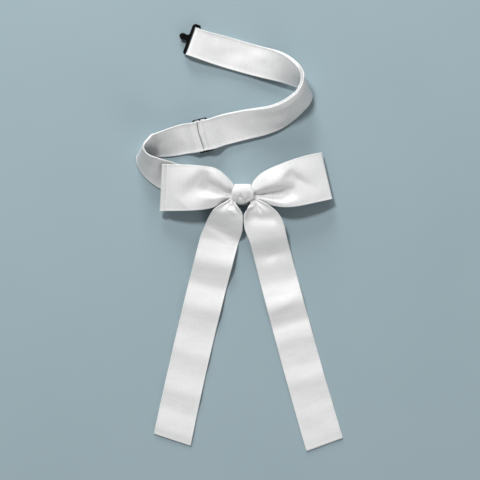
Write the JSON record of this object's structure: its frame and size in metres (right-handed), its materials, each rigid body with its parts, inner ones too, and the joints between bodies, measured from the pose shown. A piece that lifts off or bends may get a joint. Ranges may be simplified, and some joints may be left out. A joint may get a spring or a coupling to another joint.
{
  "type": "string bow tie",
  "caption": "Pre-tied satin bow tie with long straight tails and a thin adjustable neck band that closes with a hook, lying face up.",
  "frame": {"origin": "on the surface that the tie lies on, under the middle of the knot, at the knot's flat back", "axes": "+Y from the tails towards the top of the neck band, +X to the bow's right in the front view, +Z out of the bow's front"},
  "size_m": [0.1551, 0.3205, 0.0219],
  "materials": {
    "white_satin": "white satin with a soft sheen",
    "black_metal": "semi-gloss black coating"
  },
  "bodies": {
    "root": {"bow_ribbon": "white_satin", "knot_wrap": "white_satin", "left_tail": "white_satin", "right_tail": "white_satin", "neck_band": "white_satin", "adjuster_slide": "black_metal", "hook": "black_metal", "eye_ring": "black_metal"}
  },
  "joints": []
}
